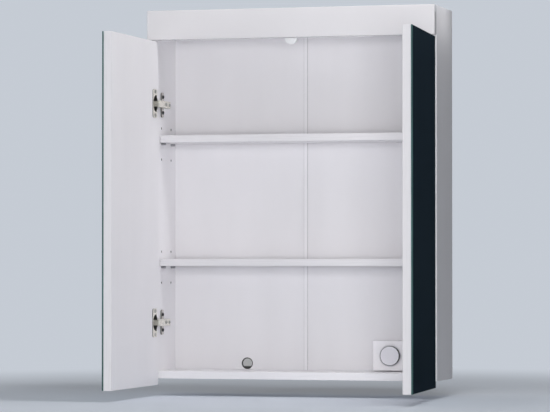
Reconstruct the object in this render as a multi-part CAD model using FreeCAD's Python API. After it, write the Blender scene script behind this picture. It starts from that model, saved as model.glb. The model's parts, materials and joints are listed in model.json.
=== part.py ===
import FreeCAD, Part
import os

Vector = FreeCAD.Vector

# Millimetres, +Z up, +X to the right, front towards -Y, rear edges on the wall plane y = 0.
# The origin is midway between the two hanging holes, on the wall plane.

# Carcass sizes
CABINET_WIDTH = 600.0
CABINET_HEIGHT = 750.0
CARCASS_DEPTH = 148.0
BOARD = 15.0
EDGE_ROUND = 0.8
HANG_DROP = 60.0

# Pelmet across the top of the front
PELMET_HEIGHT = 60.0
PELMET_THICK = 19.0
PELMET_ROUND = 1.6

# Back panels, their grooves and the strip that joins them
BACK_THICK = 3.0
BACK_VOID = 17.0
GROOVE_DEPTH = 6.0
GROOVE_PLAY = 0.1
GROOVE_END_PLAY = 0.5
STRIP_WIDTH = 8.0
STRIP_FLANGE = 1.0
STRIP_WEB = 1.2
STRIP_OFFSET = -3.5
CABLE_HOLE_RADIUS = 10.0
CABLE_HOLE_FROM_LEFT = 171.0
CABLE_HOLE_ABOVE_BOTTOM = 13.0

# Doors with a mirror on the whole front
DOOR_THICK = 16.0
MIRROR_THICK = 4.0
MIRROR_BEVEL = 0.8
DOOR_ROUND = 1.0
DOOR_GAP = 3.5
DOOR_TOP_GAP = 3.0
DOOR_OVERHANG = 13.0
SIDE_REVEAL = 1.5
MIDDLE_GAP = 2.0
LEFT_OPEN_DEG = 90.0
RIGHT_OPEN_DEG = 94.0

# Shelves and the pins that carry them
SHELF_SETBACK = 20.0
SHELF_END_PLAY = 1.0
SHELF_BACK_PLAY = 1.0
UPPER_SHELF_DROP = 268.0
LOWER_SHELF_DROP = 521.0
PIN_RADIUS = 2.5
PIN_FLAT = 2.2
PIN_PROJECT = 9.0
PIN_HOLE_DEPTH = 9.0
PIN_SEAT = 0.3
PIN_CLEAR = 0.02
PIN_ROW_FRONT = 33.0
PIN_ROW_SPACING = 64.0
PIN_PITCH = 32.0

# Dowels that join the boards
DOWEL_RADIUS = 4.0
DOWEL_LENGTH = 22.0
DOWEL_END_PLAY = 0.5
DOWEL_IN_SIDE = 9.0
DOWEL_CLEAR = 0.02

# Concealed hinges, two on each door
HINGE_FROM_DOOR_END = 127.0
PIVOT_FROM_DOOR_EDGE = 8.5
PIVOT_FROM_DOOR_FACE = 10.5
CUP_RADIUS = 17.5
CUP_EDGE_WALL = 4.0
CUP_DEPTH = 14.0
CUP_SHEET = 0.6
CUP_CLEAR = 0.1
FLANGE_LENGTH = 58.0
FLANGE_WIDTH = 26.0
FLANGE_THICK = 1.5
FLANGE_OFFSET = 5.0
FLANGE_CORNER = 5.0
CUP_SCREW_SPACING = 48.0
HINGE_PIN_RADIUS = 1.5
HINGE_PIN_HALF = 9.5
LUG_RADIUS = 2.5
LUG_PLAY = 0.7
RUNNING_CLEAR = 0.05
KNUCKLE_RADIUS = 2.5
KNUCKLE_WIDTH = 11.0
KNUCKLE_REACH = 13.5
ARM_WIDTH = 14.0
ARM_TOP = 13.0
ARM_WALL = 1.5
ARM_BACK = 52.0
ARM_ROOT = 7.0
NECK_THICK = 2.6
ARM_CORNER = 4.0
PLATE_HEIGHT = 51.0
PLATE_WING = 15.0
PLATE_THICK = 2.5
RIDGE_WIDTH = 10.4
RIDGE_LENGTH = 40.0
RIDGE_TOP_PLAY = 0.2
PLATE_SCREW_SPACING = 32.0
ARM_SCREW_BACK = 44.0
ARM_SCREW_FRONT = 22.0

# Screws
SCREW_HEAD = 3.6
SCREW_HEAD_HEIGHT = 2.0
SCREW_SHANK = 1.8
SCREW_BITE = 10.0
SMALL_HEAD = 2.6
SMALL_HEAD_HEIGHT = 1.6
SMALL_SHANK = 1.3
SMALL_BITE = 2.4

# Stop for the closed doors, under the middle of the pelmet
STOP_RADIUS = 12.5
STOP_DROP = 13.0
STOP_RISE = 22.0
STOP_THICK = 4.0
STOP_NOSE_GAP = 0.3
STOP_UNDER_PELMET = 1.0

# Hanger brackets behind the back panels
BRACKET_SHEET = 1.5
BRACKET_HEIGHT = 50.0
BRACKET_WIDTH = 28.0
BRACKET_DEPTH = 14.0
KEYHOLE_RADIUS = 5.0
KEYHOLE_SLOT = 5.5
KEYHOLE_RISE = 10.0
KEYHOLE_FROM_SIDE = 16.0

# Switch box on the back panel, just above the bottom board
SWITCH_WIDTH = 74.0
SWITCH_HEIGHT = 61.5
SWITCH_LIFT = 1.5
SWITCH_DEPTH = 40.0
SWITCH_FROM_SIDE = 101.0
SWITCH_WALL = 2.0
SWITCH_ROUND = 3.0
SWITCH_BASE_THICK = 3.0
SWITCH_FIT = 0.1
BUTTON_RADIUS = 20.0
BUTTON_RING = 2.3
BUTTON_PROUD = 6.5
BUTTON_ROUND = 1.2
BUTTON_FLANGE = 3.0
BUTTON_TRAVEL = 3.0
STEM_RADIUS = 4.0
GUIDE_WALL = 2.0
GUIDE_LENGTH = 10.0

# Places worked out from the sizes above
HALF = CABINET_WIDTH / 2
TOP = HANG_DROP
BOTTOM = TOP - CABINET_HEIGHT
FRONT = -CARCASS_DEPTH
INSIDE = HALF - BOARD
CEILING = TOP - BOARD
FLOOR = BOTTOM + BOARD
BACK_REAR = -BACK_VOID
BACK_FRONT = BACK_REAR - BACK_THICK
PELMET_LOW = TOP - PELMET_HEIGHT
DOOR_WIDTH = HALF - SIDE_REVEAL - MIDDLE_GAP / 2
DOOR_TOP = PELMET_LOW - DOOR_TOP_GAP
DOOR_LOW = BOTTOM - DOOR_OVERHANG
DOOR_INNER = FRONT - DOOR_GAP
DOOR_EDGE = HALF - SIDE_REVEAL
PIVOT_X = DOOR_EDGE - PIVOT_FROM_DOOR_EDGE
PIVOT_Y = DOOR_INNER - PIVOT_FROM_DOOR_FACE
HINGE_HEIGHTS = [DOOR_TOP - HINGE_FROM_DOOR_END, DOOR_LOW + HINGE_FROM_DOOR_END]
SHELF_BOTTOMS = [TOP - UPPER_SHELF_DROP, TOP - LOWER_SHELF_DROP]
PIN_ROWS = [FRONT + PIN_ROW_FRONT, FRONT + PIN_ROW_FRONT + PIN_ROW_SPACING]
DOWEL_ROWS = [FRONT + BOARD, BACK_FRONT - BOARD]
ARM_UNDER = ARM_TOP - ARM_WALL
RIDGE_TOP = ARM_UNDER - RIDGE_TOP_PLAY
CUP_CENTRE_X = DOOR_EDGE - CUP_EDGE_WALL - CUP_RADIUS
FLANGE_CENTRE_X = CUP_CENTRE_X - FLANGE_OFFSET
WING_Y = FRONT + PIN_ROW_FRONT
SWITCH_CENTRE = INSIDE - SWITCH_FROM_SIDE
SWITCH_LOW = FLOOR + SWITCH_LIFT
SWITCH_MIDDLE = SWITCH_LOW + SWITCH_HEIGHT / 2
SWITCH_FACE = BACK_FRONT - SWITCH_DEPTH
BUTTON_BACK = SWITCH_FACE + SWITCH_WALL


def block(x0, x1, y0, y1, z0, z1):
    """A box between two corners."""
    return Part.makeBox(x1 - x0, y1 - y0, z1 - z0, Vector(x0, y0, z0))


def rod(radius, start, axis, length):
    """A cylinder from a start point along an axis."""
    return Part.makeCylinder(radius, length, start, axis)


def rounded(solid, radius, picks):
    """Rounds the edges that the test picks out by their midpoint and direction."""
    edges = []
    for edge in solid.Edges:
        ends = [vertex.Point for vertex in edge.Vertexes]
        if len(ends) == 2 and picks((ends[0] + ends[1]) / 2, ends[1] - ends[0]):
            edges.append(edge)
    return solid.makeFillet(radius, edges)


def prism(points, z0, z1):
    """An upright prism over an outline in the XY plane."""
    corners = [Vector(x, y, z0) for x, y in points]
    face = Part.Face(Part.makePolygon(corners + [corners[0]]))
    return face.extrude(Vector(0, 0, z1 - z0))


def fused(solids):
    """One clean solid from several overlapping ones."""
    whole = solids[0]
    for solid in solids[1:]:
        whole = whole.fuse(solid)
    return whole.removeSplitter()


def mirrored(solid):
    """The left-hand twin of a right-hand piece."""
    return solid.mirror(Vector(0, 0, 0), Vector(1, 0, 0))


def screw(seat, axis, head_radius, head_height, shank_radius, shank_length):
    """A pan-head screw whose head sits on the seat and whose shank follows the axis."""
    into = Vector(axis)
    out = into * -1
    head = rod(head_radius, seat, out, head_height)
    top = seat + out * head_height
    near = head_height / 2
    rim = [edge for edge in head.Edges if edge.Closed and (edge.CenterOfMass - top).Length < near]
    head = head.makeFillet(head_height * 0.45, rim)
    shank = rod(shank_radius, seat, into, shank_length)
    body = head.fuse(shank)
    slot = head_radius * 0.22
    reach = head_radius * 0.6
    across = Vector(0, 0, 1)
    other = into.cross(across)
    for long_way, short_way in ((across, other), (other, across)):
        corners = []
        for along, aside in ((-1, -1), (1, -1), (1, 1), (-1, 1)):
            corners.append(top + long_way * reach * along + short_way * slot * aside)
        face = Part.Face(Part.makePolygon(corners + [corners[0]]))
        body = body.cut(face.extrude(into * head_height * 0.6))
    return body.removeSplitter()


def wood_screw(seat, axis, through):
    """A screw that goes through a fitting and bites into a board."""
    return screw(seat, axis, SCREW_HEAD, SCREW_HEAD_HEIGHT, SCREW_SHANK, through + SCREW_BITE - PIN_SEAT)


def save(name, solids):
    """Writes one node; several equal solids go in as a group."""
    shape = solids[0] if len(solids) == 1 else Part.makeCompound(solids)
    shape.exportStep("parts/" + name + ".step")


# Carcass boards
def dowel_places():
    """Start point and axis of each dowel at the right-hand ends of the top and bottom boards."""
    places = []
    for z in (TOP - BOARD / 2, BOTTOM + BOARD / 2):
        for y in DOWEL_ROWS:
            start = Vector(INSIDE + DOWEL_IN_SIDE, y, z)
            places.append((start, Vector(-1, 0, 0)))
    return places


def pelmet_dowel_places():
    """Start point and axis of each dowel from the right-hand side panel into the pelmet."""
    places = []
    for part_way in (0.25, 0.75):
        start = Vector(HALF - BOARD / 2, FRONT - DOWEL_IN_SIDE, TOP - PELMET_HEIGHT * part_way)
        places.append((start, Vector(0, 1, 0)))
    return places


def drill_dowels(solid, places):
    """Cuts the dowel holes, a little longer than the dowels at both ends."""
    for start, axis in places:
        mouth = start - axis * DOWEL_END_PLAY
        hole = rod(DOWEL_RADIUS + DOWEL_CLEAR, mouth, axis, DOWEL_LENGTH + 2 * DOWEL_END_PLAY)
        solid = solid.cut(hole)
    return solid


def make_side_panel():
    """The right-hand side panel with its groove, pin holes and dowel holes."""
    panel = block(INSIDE, HALF, FRONT, 0, BOTTOM, TOP)
    panel = panel.makeFillet(EDGE_ROUND, panel.Edges)
    groove = block(
        INSIDE - 1, INSIDE + GROOVE_DEPTH,
        BACK_FRONT - GROOVE_PLAY, BACK_REAR + GROOVE_PLAY,
        FLOOR - GROOVE_DEPTH, CEILING + GROOVE_DEPTH)
    panel = panel.cut(groove)
    for shelf_bottom in SHELF_BOTTOMS:
        for step in (-1, 0, 1):
            for y in PIN_ROWS:
                mouth = Vector(INSIDE, y, shelf_bottom - PIN_FLAT + step * PIN_PITCH)
                panel = panel.cut(rod(PIN_RADIUS + PIN_CLEAR, mouth, Vector(1, 0, 0), PIN_HOLE_DEPTH))
    for z in HINGE_HEIGHTS:
        for seat in plate_screw_seats(z):
            hole = rod(SCREW_SHANK + PIN_CLEAR, Vector(INSIDE, seat.y, seat.z), Vector(1, 0, 0), SCREW_BITE)
            panel = panel.cut(hole)
    for seat in bracket_screw_seats():
        hole = rod(SCREW_SHANK + PIN_CLEAR, Vector(INSIDE, seat.y, seat.z), Vector(1, 0, 0), SCREW_BITE)
        panel = panel.cut(hole)
    return drill_dowels(panel, dowel_places() + pelmet_dowel_places())


def make_cross_board(z0, z1, groove_face):
    """The top or bottom board between the sides; its groove opens on the inner face."""
    board = block(-INSIDE, INSIDE, FRONT, 0, z0, z1)
    board = rounded(board, EDGE_ROUND, lambda mid, way: abs(way.x) > 1)
    into = GROOVE_DEPTH if groove_face == z0 else -GROOVE_DEPTH
    groove = block(
        -INSIDE - 1, INSIDE + 1,
        BACK_FRONT - GROOVE_PLAY, BACK_REAR + GROOVE_PLAY,
        min(groove_face, groove_face + into), max(groove_face, groove_face + into))
    board = board.cut(groove)
    places = dowel_places()
    for start, axis in dowel_places():
        places.append((Vector(-start.x, start.y, start.z), axis * -1))
    return drill_dowels(board, places)


def make_pelmet():
    """The rounded front board that hides the top of the doorway."""
    pelmet = block(-HALF, HALF, FRONT - PELMET_THICK, FRONT, PELMET_LOW, TOP)
    pelmet = pelmet.makeFillet(PELMET_ROUND, pelmet.Edges)
    places = pelmet_dowel_places()
    for start, axis in pelmet_dowel_places():
        places.append((Vector(-start.x, start.y, start.z), axis))
    pelmet = drill_dowels(pelmet, places)
    seat = stop_screw_seat()
    hole = rod(SCREW_SHANK + PIN_CLEAR, Vector(seat.x, FRONT, seat.z), Vector(0, -1, 0), SCREW_BITE)
    return pelmet.cut(hole)


def make_dowels(places):
    """Chamfered wooden dowels on both sides of the cabinet."""
    dowels = []
    for start, axis in places:
        dowel = rod(DOWEL_RADIUS, start, axis, DOWEL_LENGTH)
        dowel = dowel.makeChamfer(DOWEL_RADIUS / 5, [edge for edge in dowel.Edges if edge.Closed])
        dowels.extend([dowel, mirrored(dowel)])
    return dowels


# Back panels and the strip between them
def make_back_panel(side):
    """One back panel, from a side groove to the web of the joint strip."""
    outer = INSIDE + GROOVE_DEPTH - GROOVE_END_PLAY
    web = STRIP_WEB / 2 + GROOVE_PLAY
    x0 = -outer if side < 0 else STRIP_OFFSET + web
    x1 = STRIP_OFFSET - web if side < 0 else outer
    low = FLOOR - GROOVE_DEPTH + GROOVE_END_PLAY
    high = CEILING + GROOVE_DEPTH - GROOVE_END_PLAY
    panel = block(x0, x1, BACK_FRONT, BACK_REAR, low, high)
    if side < 0:
        place = Vector(CABLE_HOLE_FROM_LEFT - HALF, BACK_FRONT - 1, FLOOR + CABLE_HOLE_ABOVE_BOTTOM)
        panel = panel.cut(rod(CABLE_HOLE_RADIUS, place, Vector(0, 1, 0), BACK_THICK + 2))
    else:
        for seat in switch_screw_seats():
            mouth = Vector(seat.x, BACK_FRONT, seat.z)
            panel = panel.cut(rod(SMALL_SHANK + PIN_CLEAR, mouth, Vector(0, 1, 0), SMALL_BITE))
    return panel


def make_back_strip():
    """The H-shaped strip that holds the two back panels edge to edge."""
    x0 = STRIP_OFFSET - STRIP_WIDTH / 2
    x1 = STRIP_OFFSET + STRIP_WIDTH / 2
    face = block(x0, x1, BACK_FRONT - STRIP_FLANGE, BACK_FRONT, FLOOR, CEILING)
    face = rounded(face, STRIP_FLANGE * 0.4, lambda mid, way: abs(way.z) > 1 and mid.y < BACK_FRONT - 0.5)
    web = block(
        STRIP_OFFSET - STRIP_WEB / 2, STRIP_OFFSET + STRIP_WEB / 2,
        BACK_FRONT, BACK_REAR, FLOOR, CEILING)
    rear = block(x0, x1, BACK_REAR, BACK_REAR + STRIP_FLANGE, FLOOR, CEILING)
    return fused([face, web, rear])


# Shelves and their pins
def make_shelf(bottom):
    """One loose shelf that lies on four pins."""
    x1 = INSIDE - SHELF_END_PLAY
    rear = BACK_FRONT - STRIP_FLANGE - SHELF_BACK_PLAY
    shelf = block(-x1, x1, FRONT + SHELF_SETBACK, rear, bottom, bottom + BOARD)
    return rounded(shelf, EDGE_ROUND, lambda mid, way: True)


def make_shelf_pins(bottom):
    """Four pins for one shelf, each with a flat top outside its hole."""
    pins = []
    for y in PIN_ROWS:
        centre = bottom - PIN_FLAT
        length = PIN_HOLE_DEPTH - PIN_SEAT + PIN_PROJECT
        start = Vector(INSIDE - PIN_PROJECT, y, centre)
        pin = rod(PIN_RADIUS, start, Vector(1, 0, 0), length)
        pin = pin.makeChamfer(0.4, [edge for edge in pin.Edges if edge.Closed])
        flat = block(
            start.x - 1, INSIDE, y - PIN_RADIUS - 1, y + PIN_RADIUS + 1,
            bottom, bottom + PIN_RADIUS)
        pin = pin.cut(flat)
        pins.extend([pin, mirrored(pin)])
    return pins


# Hinges on the right-hand side, mirrored for the left
def plate_screw_seats(z):
    """Where the two screw heads sit on one mounting plate."""
    return [Vector(INSIDE - PLATE_THICK, WING_Y, z + way * PLATE_SCREW_SPACING / 2) for way in (-1, 1)]


def arm_screw_seats(z):
    """Where the fixing and adjusting screws sit on one arm."""
    return [Vector(INSIDE - ARM_TOP, FRONT + back, z) for back in (ARM_SCREW_FRONT, ARM_SCREW_BACK)]


def cup_screw_seats(z):
    """Where the two screws sit on one cup flange, with the door closed."""
    y = DOOR_INNER + FLANGE_THICK
    return [Vector(FLANGE_CENTRE_X, y, z + way * CUP_SCREW_SPACING / 2) for way in (-1, 1)]


def make_mounting_plate(z):
    """A winged plate with a ridge that the arm straddles."""
    wing = block(
        INSIDE - PLATE_THICK, INSIDE,
        WING_Y - PLATE_WING / 2, WING_Y + PLATE_WING / 2,
        z - PLATE_HEIGHT / 2, z + PLATE_HEIGHT / 2)
    wing = rounded(wing, PLATE_WING / 3, lambda mid, way: abs(way.x) > 1)
    ridge = block(
        INSIDE - RIDGE_TOP, INSIDE,
        WING_Y - RIDGE_LENGTH / 2, WING_Y + RIDGE_LENGTH / 2,
        z - RIDGE_WIDTH / 2, z + RIDGE_WIDTH / 2)
    ridge = rounded(ridge, 1.0, lambda mid, way: mid.x < INSIDE - RIDGE_TOP + 0.5)
    plate = fused([wing, ridge])
    for seat in plate_screw_seats(z):
        plate = plate.cut(rod(SCREW_SHANK + PIN_CLEAR, seat, Vector(1, 0, 0), PLATE_THICK))
    for seat in arm_screw_seats(z):
        plate = plate.cut(rod(SCREW_SHANK + PIN_CLEAR, seat, Vector(1, 0, 0), ARM_TOP - PLATE_THICK))
    return plate


def make_hinge_arm(z):
    """A channel-shaped arm whose hooked end carries the pivot inside the cup."""
    outer = INSIDE - ARM_TOP
    inner = INSIDE - ARM_ROOT
    tip = PIVOT_Y - KNUCKLE_RADIUS
    rise = tip + NECK_THICK
    outline = [
        (outer, FRONT + ARM_BACK),
        (outer, tip),
        (PIVOT_X, tip),
        (PIVOT_X, PIVOT_Y + KNUCKLE_RADIUS),
        (inner, rise),
        (inner, FRONT + ARM_BACK)]
    arm = prism(outline, z - ARM_WIDTH / 2, z + ARM_WIDTH / 2)
    arm = rounded(arm, ARM_CORNER, lambda mid, way: abs(way.z) > 1 and mid.x < outer + 1 and mid.y < FRONT)
    for low, high in ((-ARM_WIDTH, -KNUCKLE_WIDTH / 2), (KNUCKLE_WIDTH / 2, ARM_WIDTH)):
        arm = arm.cut(block(PIVOT_X - KNUCKLE_REACH, PIVOT_X + 1, tip - 1, DOOR_INNER, z + low, z + high))
    knuckle = rod(
        KNUCKLE_RADIUS, Vector(PIVOT_X, PIVOT_Y, z - KNUCKLE_WIDTH / 2), Vector(0, 0, 1), KNUCKLE_WIDTH)
    arm = fused([arm, knuckle])
    channel = block(
        INSIDE - ARM_UNDER, INSIDE,
        FRONT, FRONT + ARM_BACK + 1,
        z - ARM_WIDTH / 2 + ARM_WALL, z + ARM_WIDTH / 2 - ARM_WALL)
    arm = arm.cut(channel)
    bore = rod(
        HINGE_PIN_RADIUS + RUNNING_CLEAR,
        Vector(PIVOT_X, PIVOT_Y, z - ARM_WIDTH), Vector(0, 0, 1), 2 * ARM_WIDTH)
    arm = arm.cut(bore)
    for seat in arm_screw_seats(z):
        arm = arm.cut(rod(SCREW_SHANK + PIN_CLEAR, seat, Vector(1, 0, 0), ARM_WALL))
    return arm


def make_hinge_cup(z):
    """A pressed cup with its flange, let into the closed door."""
    axis = Vector(0, -1, 0)
    mouth = Vector(CUP_CENTRE_X, DOOR_INNER, z)
    bowl = rod(CUP_RADIUS - CUP_CLEAR, mouth, axis, CUP_DEPTH)
    flange = block(
        FLANGE_CENTRE_X - FLANGE_WIDTH / 2, FLANGE_CENTRE_X + FLANGE_WIDTH / 2,
        DOOR_INNER, DOOR_INNER + FLANGE_THICK,
        z - FLANGE_LENGTH / 2, z + FLANGE_LENGTH / 2)
    flange = rounded(flange, FLANGE_CORNER, lambda mid, way: abs(way.y) > 1)
    cup = fused([bowl, flange])
    start = Vector(CUP_CENTRE_X, DOOR_INNER + FLANGE_THICK + 1, z)
    cup = cup.cut(rod(CUP_RADIUS - CUP_SHEET, start, axis, CUP_DEPTH - CUP_SHEET + FLANGE_THICK + 1))
    gap = KNUCKLE_WIDTH / 2 + LUG_PLAY
    for way in (-1, 1):
        lug = rod(LUG_RADIUS, Vector(PIVOT_X, PIVOT_Y, z + way * gap), Vector(0, 0, way), CUP_RADIUS)
        cup = cup.fuse(lug.common(bowl))
    cup = cup.removeSplitter()
    pin = Vector(PIVOT_X, PIVOT_Y, z - HINGE_PIN_HALF)
    cup = cup.cut(rod(HINGE_PIN_RADIUS + PIN_CLEAR, pin, Vector(0, 0, 1), 2 * HINGE_PIN_HALF))
    for seat in cup_screw_seats(z):
        cup = cup.cut(rod(SCREW_SHANK + PIN_CLEAR, seat, axis, FLANGE_THICK))
    return cup


def make_hinge_pin(z):
    """The pivot pin, held by the cup and turning in the arm."""
    return rod(
        HINGE_PIN_RADIUS, Vector(PIVOT_X, PIVOT_Y, z - HINGE_PIN_HALF), Vector(0, 0, 1),
        2 * HINGE_PIN_HALF)


# Doors, built closed on the right and then turned to the shown position
def make_door_panel():
    """The door board with its cup holes and screw holes."""
    panel = block(
        DOOR_EDGE - DOOR_WIDTH, DOOR_EDGE, DOOR_INNER - DOOR_THICK, DOOR_INNER, DOOR_LOW, DOOR_TOP)
    panel = rounded(panel, DOOR_ROUND, lambda mid, way: mid.y > DOOR_INNER - 0.5)
    axis = Vector(0, -1, 0)
    for z in HINGE_HEIGHTS:
        panel = panel.cut(rod(CUP_RADIUS, Vector(CUP_CENTRE_X, DOOR_INNER, z), axis, CUP_DEPTH + CUP_CLEAR))
        for seat in cup_screw_seats(z):
            hole = rod(SCREW_SHANK + PIN_CLEAR, Vector(seat.x, DOOR_INNER, seat.z), axis, SCREW_BITE)
            panel = panel.cut(hole)
    return panel


def make_mirror():
    """The bevelled mirror glass over the whole front of a door."""
    back = DOOR_INNER - DOOR_THICK
    glass = block(DOOR_EDGE - DOOR_WIDTH, DOOR_EDGE, back - MIRROR_THICK, back, DOOR_LOW, DOOR_TOP)
    front_edges = [edge for edge in glass.Edges if abs(edge.CenterOfMass.y - back + MIRROR_THICK) < 0.01]
    return glass.makeChamfer(MIRROR_BEVEL, front_edges)


def opened(solid, side):
    """Turns a closed right-hand piece to where the door stands, mirrored for the left."""
    angle = RIGHT_OPEN_DEG if side > 0 else LEFT_OPEN_DEG
    turned = solid.copy()
    turned.rotate(Vector(PIVOT_X, PIVOT_Y, 0), Vector(0, 0, 1), angle)
    return turned if side > 0 else mirrored(turned)


# Door stop
def stop_screw_seat():
    """Where the screw head sits on the back of the stop."""
    return Vector(0, FRONT + STOP_THICK, PELMET_LOW + STOP_RISE / 2)


def make_door_stop():
    """A tongue with a round lower end; its thick nose faces the closed doors."""
    low = PELMET_LOW - STOP_DROP + STOP_RADIUS
    plate = block(-STOP_RADIUS, STOP_RADIUS, FRONT, FRONT + STOP_THICK, low, PELMET_LOW + STOP_RISE)
    plate = rounded(plate, 2.0, lambda mid, way: abs(way.y) > 1 and mid.z > PELMET_LOW)
    end = rod(STOP_RADIUS, Vector(0, FRONT, low), Vector(0, 1, 0), STOP_THICK)
    reach = DOOR_GAP - STOP_NOSE_GAP
    nose = rod(STOP_RADIUS, Vector(0, FRONT - reach, low), Vector(0, 1, 0), reach)
    trim = PELMET_LOW - STOP_UNDER_PELMET
    nose = nose.cut(block(
        -STOP_RADIUS - 1, STOP_RADIUS + 1, FRONT - reach - 1, FRONT + 1, trim, trim + 2 * STOP_RADIUS))
    stop = fused([plate, end, nose])
    return stop.cut(rod(SCREW_SHANK + PIN_CLEAR, stop_screw_seat(), Vector(0, -1, 0), STOP_THICK))


# Hanger brackets
def bracket_screw_seats():
    """Where the two screws of the right-hand bracket sit."""
    y = -(BRACKET_SHEET + BRACKET_DEPTH) / 2
    low = KEYHOLE_RISE / 2 - BRACKET_HEIGHT / 4
    return [Vector(INSIDE - BRACKET_SHEET, y, low + way * BRACKET_HEIGHT / 2) for way in (0, 1)]


def make_bracket():
    """A bent bracket: one leg on the side panel, one on the wall with the keyhole."""
    low = KEYHOLE_RISE / 2 - BRACKET_HEIGHT / 2
    high = low + BRACKET_HEIGHT
    on_side = block(INSIDE - BRACKET_SHEET, INSIDE, -BRACKET_DEPTH, 0, low, high)
    on_wall = block(INSIDE - BRACKET_WIDTH, INSIDE, -BRACKET_SHEET, 0, low, high)
    on_wall = rounded(on_wall, 4.0, lambda mid, way: abs(way.y) > 1 and mid.x < INSIDE - 1)
    bracket = fused([on_side, on_wall])
    x = INSIDE - KEYHOLE_FROM_SIDE
    entry = Vector(x, -BRACKET_SHEET - 1, 0)
    through = BRACKET_SHEET + 2
    hole = rod(KEYHOLE_RADIUS, entry, Vector(0, 1, 0), through)
    slot = block(x - KEYHOLE_SLOT / 2, x + KEYHOLE_SLOT / 2, entry.y, entry.y + through, 0, KEYHOLE_RISE)
    slot_end = rod(KEYHOLE_SLOT / 2, entry + Vector(0, 0, KEYHOLE_RISE), Vector(0, 1, 0), through)
    bracket = bracket.cut(hole.fuse(slot).fuse(slot_end))
    for seat in bracket_screw_seats():
        bracket = bracket.cut(rod(SCREW_SHANK + PIN_CLEAR, seat, Vector(1, 0, 0), BRACKET_SHEET))
    return bracket


# Switch box with a round push button
def switch_screw_seats():
    """Where the two screws sit on the base plate."""
    y = BACK_FRONT - SWITCH_BASE_THICK
    return [Vector(SWITCH_CENTRE + way * SWITCH_WIDTH / 3, y, SWITCH_MIDDLE) for way in (-1, 1)]


def make_switch_cover():
    """A shell that is open at the back, with a round opening for the button."""
    x0 = SWITCH_CENTRE - SWITCH_WIDTH / 2
    x1 = SWITCH_CENTRE + SWITCH_WIDTH / 2
    top = SWITCH_LOW + SWITCH_HEIGHT
    shell = block(x0, x1, SWITCH_FACE, BACK_FRONT, SWITCH_LOW, top)
    shell = rounded(shell, SWITCH_ROUND, lambda mid, way: mid.y < SWITCH_FACE + 0.5)
    hollow = block(
        x0 + SWITCH_WALL, x1 - SWITCH_WALL, SWITCH_FACE + SWITCH_WALL, BACK_FRONT + 1,
        SWITCH_LOW + SWITCH_WALL, top - SWITCH_WALL)
    shell = shell.cut(hollow)
    opening = rod(
        BUTTON_RADIUS + BUTTON_RING, Vector(SWITCH_CENTRE, SWITCH_FACE - 1, SWITCH_MIDDLE),
        Vector(0, 1, 0), SWITCH_WALL + 2)
    return shell.cut(opening)


def make_switch_base():
    """The plate that closes the shell, with a guide tube for the stem."""
    inset = SWITCH_WALL + SWITCH_FIT
    plate = block(
        SWITCH_CENTRE - SWITCH_WIDTH / 2 + inset, SWITCH_CENTRE + SWITCH_WIDTH / 2 - inset,
        BACK_FRONT - SWITCH_BASE_THICK, BACK_FRONT,
        SWITCH_LOW + inset, SWITCH_LOW + SWITCH_HEIGHT - inset)
    centre = Vector(SWITCH_CENTRE, BACK_FRONT - SWITCH_BASE_THICK - GUIDE_LENGTH, SWITCH_MIDDLE)
    axis = Vector(0, 1, 0)
    tube = rod(STEM_RADIUS + RUNNING_CLEAR + GUIDE_WALL, centre, axis, GUIDE_LENGTH)
    base = fused([plate, tube])
    base = base.cut(rod(STEM_RADIUS + RUNNING_CLEAR, centre, axis, GUIDE_LENGTH))
    for seat in switch_screw_seats():
        base = base.cut(rod(SMALL_SHANK + PIN_CLEAR, seat, axis, SWITCH_BASE_THICK))
    return base


def make_switch_button():
    """A raised disc with a flange behind the cover and a guided stem."""
    axis = Vector(0, 1, 0)
    face = SWITCH_FACE - BUTTON_PROUD
    disc = rod(BUTTON_RADIUS, Vector(SWITCH_CENTRE, face, SWITCH_MIDDLE), axis, BUTTON_BACK - face)
    rim = [edge for edge in disc.Edges if edge.Closed and abs(edge.CenterOfMass.y - face) < 0.01]
    disc = disc.makeFillet(BUTTON_ROUND, rim)
    flange = rod(
        BUTTON_RADIUS + BUTTON_RING + BUTTON_FLANGE, Vector(SWITCH_CENTRE, BUTTON_BACK, SWITCH_MIDDLE),
        axis, SWITCH_WALL)
    stem_end = BACK_FRONT - SWITCH_BASE_THICK - BUTTON_TRAVEL - 1
    stem = rod(STEM_RADIUS, Vector(SWITCH_CENTRE, BUTTON_BACK, SWITCH_MIDDLE), axis, stem_end - BUTTON_BACK)
    return fused([disc, flange, stem])


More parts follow.
